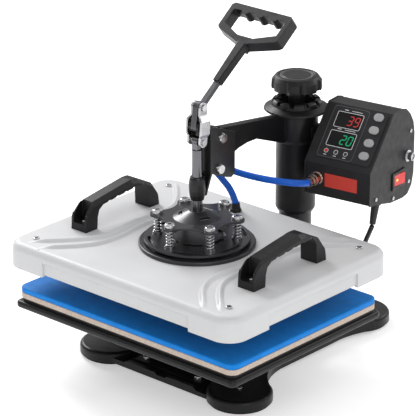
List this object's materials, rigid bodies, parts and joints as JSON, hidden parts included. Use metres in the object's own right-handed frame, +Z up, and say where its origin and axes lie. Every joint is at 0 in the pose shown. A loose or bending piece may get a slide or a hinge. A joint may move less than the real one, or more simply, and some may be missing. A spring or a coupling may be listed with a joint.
{
  "type": "heat press",
  "caption": "Swing-away flat heat press with a toggle lever, a heated upper platen on springs, a padded lower platen and a digital control box.",
  "frame": {"origin": "centre of the bounding box's bottom, on the table, measured without the power cord", "axes": "+Z up, -Y towards the user at the front of the platens, +X to the user's right"},
  "size_m": [0.4, 0.562, 0.4667],
  "materials": {
    "black_paint": "satin black powder coat",
    "box_paint": "fine textured black paint",
    "foot_rubber": "matt",
    "steel": "bright plated steel",
    "post_steel": "dark blued steel tube",
    "disc_steel": "dark nickel plate",
    "plated_steel": "bright zinc plate",
    "board": "beige silicone sponge backing",
    "blue_silicone": "matt blue silicone",
    "bush": "plain bronze",
    "black_plastic": "moulded black nylon",
    "overlay": "dark grey membrane",
    "display": "tinted window with lit digits",
    "lamps": "small red lamps",
    "rocker_red": "translucent red",
    "label_red": "plain red label",
    "gold_metal": "plated connector",
    "blue_sleeve": "blue silicone sleeve",
    "black_pvc": "black PVC",
    "cover_paint": "light grey paint",
    "aluminium_plate": "cast aluminium with dark coating",
    "insulation": "glass wool",
    "button_grey": "moulded grey"
  },
  "bodies": {
    "base": {"base_casting": "black_paint", "foot_pads": "foot_rubber", "base_fasteners": "steel", "column_post": "post_steel", "platen_support": "black_paint", "lower_tray": "black_paint", "pad_board": "board", "silicone_pad": "blue_silicone", "power_cord": "black_pvc", "power_cord_coil": "black_pvc", "cord_tie": "black_pvc", "power_plug": "black_pvc"},
    "arm": {"swing_arm": "black_paint", "sleeve_bushes": "bush", "top_bell": "box_paint", "lock_ring": "black_plastic", "head_bracket": "box_paint", "head_bolts": "steel", "guide_collar": "box_paint", "pivot_pin": "steel", "box_bracket": "box_paint", "box_shell": "box_paint", "box_left_plate": "box_paint", "box_right_plate": "box_paint", "box_screws": "steel", "panel_overlay": "overlay", "display_windows": "display", "indicator_lamps": "lamps", "rocker_bezel": "black_plastic", "fuse_holder": "black_plastic", "front_label": "label_red", "cable_socket": "gold_metal", "cable_plug": "gold_metal", "cord_relief": "black_pvc", "heater_cable": "blue_sleeve"},
    "lever": {"lever_bar": "plated_steel", "lever_grip": "black_plastic", "upper_pin": "steel"},
    "links": {"link_plates": "plated_steel"},
    "platen": {"cover": "cover_paint", "platen_screws": "steel", "heating_plate": "aluminium_plate", "heating_element": "aluminium_plate", "insulation_sheet": "insulation", "mounting_disc": "disc_steel", "slotted_disc": "disc_steel", "spring_bolts": "steel", "float_springs": "plated_steel", "platen_handles": "black_plastic", "cable_gland": "black_plastic"},
    "plunger": {"plunger_rod": "steel", "lower_pin": "steel", "spider_plate": "disc_steel"},
    "knob": {"pressure_knob": "black_plastic", "knob_spindle": "steel"},
    "rocker": {"power_rocker": "rocker_red"},
    "button_1": {"button_1": "button_grey"},
    "button_2": {"button_2": "button_grey"},
    "button_3": {"button_3": "button_grey"},
    "button_4": {"button_4": "button_grey"}
  },
  "joints": [
    {"name": "arm_swing", "type": "hinge", "parent": "base", "child": "arm", "pos_m": [0, 0.12911, 0.24], "axis": [0, 0, 1], "range_deg": [-90, 0]},
    {"name": "lever_pull", "type": "hinge", "parent": "arm", "child": "lever", "pos_m": [0, -0.07089, 0.3395], "axis": [1, 0, 0], "range_deg": [0, 127.2]},
    {"name": "link_swing", "type": "hinge", "parent": "lever", "child": "links", "pos_m": [0, -0.06689, 0.3655], "axis": [1, 0, 0], "range_deg": [-92.05, 0]},
    {"name": "platen_drop", "type": "slide", "parent": "arm", "child": "platen", "axis": [0, 0, -1], "range_m": [0, 0.0326]},
    {"name": "platen_float", "type": "slide", "parent": "platen", "child": "plunger", "axis": [0, 0, -1], "range_m": [0, 0.003], "stiffness_N_per_m": 4000, "springref_m": -0.003, "deforming": ["float_springs"]},
    {"name": "knob_turn", "type": "hinge", "parent": "arm", "child": "knob", "pos_m": [0, 0.12911, 0.35], "axis": [0, 0, 1], "continuous": true},
    {"name": "rocker_press", "type": "hinge", "parent": "arm", "child": "rocker", "pos_m": [0.13709, 0.17221, 0.233], "axis": [0, 0, 1], "range_deg": [-16, 0]},
    {"name": "button_1_press", "type": "slide", "parent": "arm", "child": "button_1", "axis": [-0.1154, 0.7283, -0.6755], "range_m": [0, 0.001], "stiffness_N_per_m": 400, "springref_m": -0.0015},
    {"name": "button_2_press", "type": "slide", "parent": "arm", "child": "button_2", "axis": [-0.1154, 0.7283, -0.6755], "range_m": [0, 0.001], "stiffness_N_per_m": 400, "springref_m": -0.0015},
    {"name": "button_3_press", "type": "slide", "parent": "arm", "child": "button_3", "axis": [-0.1154, 0.7283, -0.6755], "range_m": [0, 0.001], "stiffness_N_per_m": 400, "springref_m": -0.0015},
    {"name": "button_4_press", "type": "slide", "parent": "arm", "child": "button_4", "axis": [-0.1154, 0.7283, -0.6755], "range_m": [0, 0.001], "stiffness_N_per_m": 400, "springref_m": -0.0015}
  ],
  "couplings": [
    {"joint": "platen_drop", "follows": "lever_pull", "m_per_rad": 0.014639},
    {"joint": "link_swing", "follows": "lever_pull", "ratio": -0.72134}
  ]
}
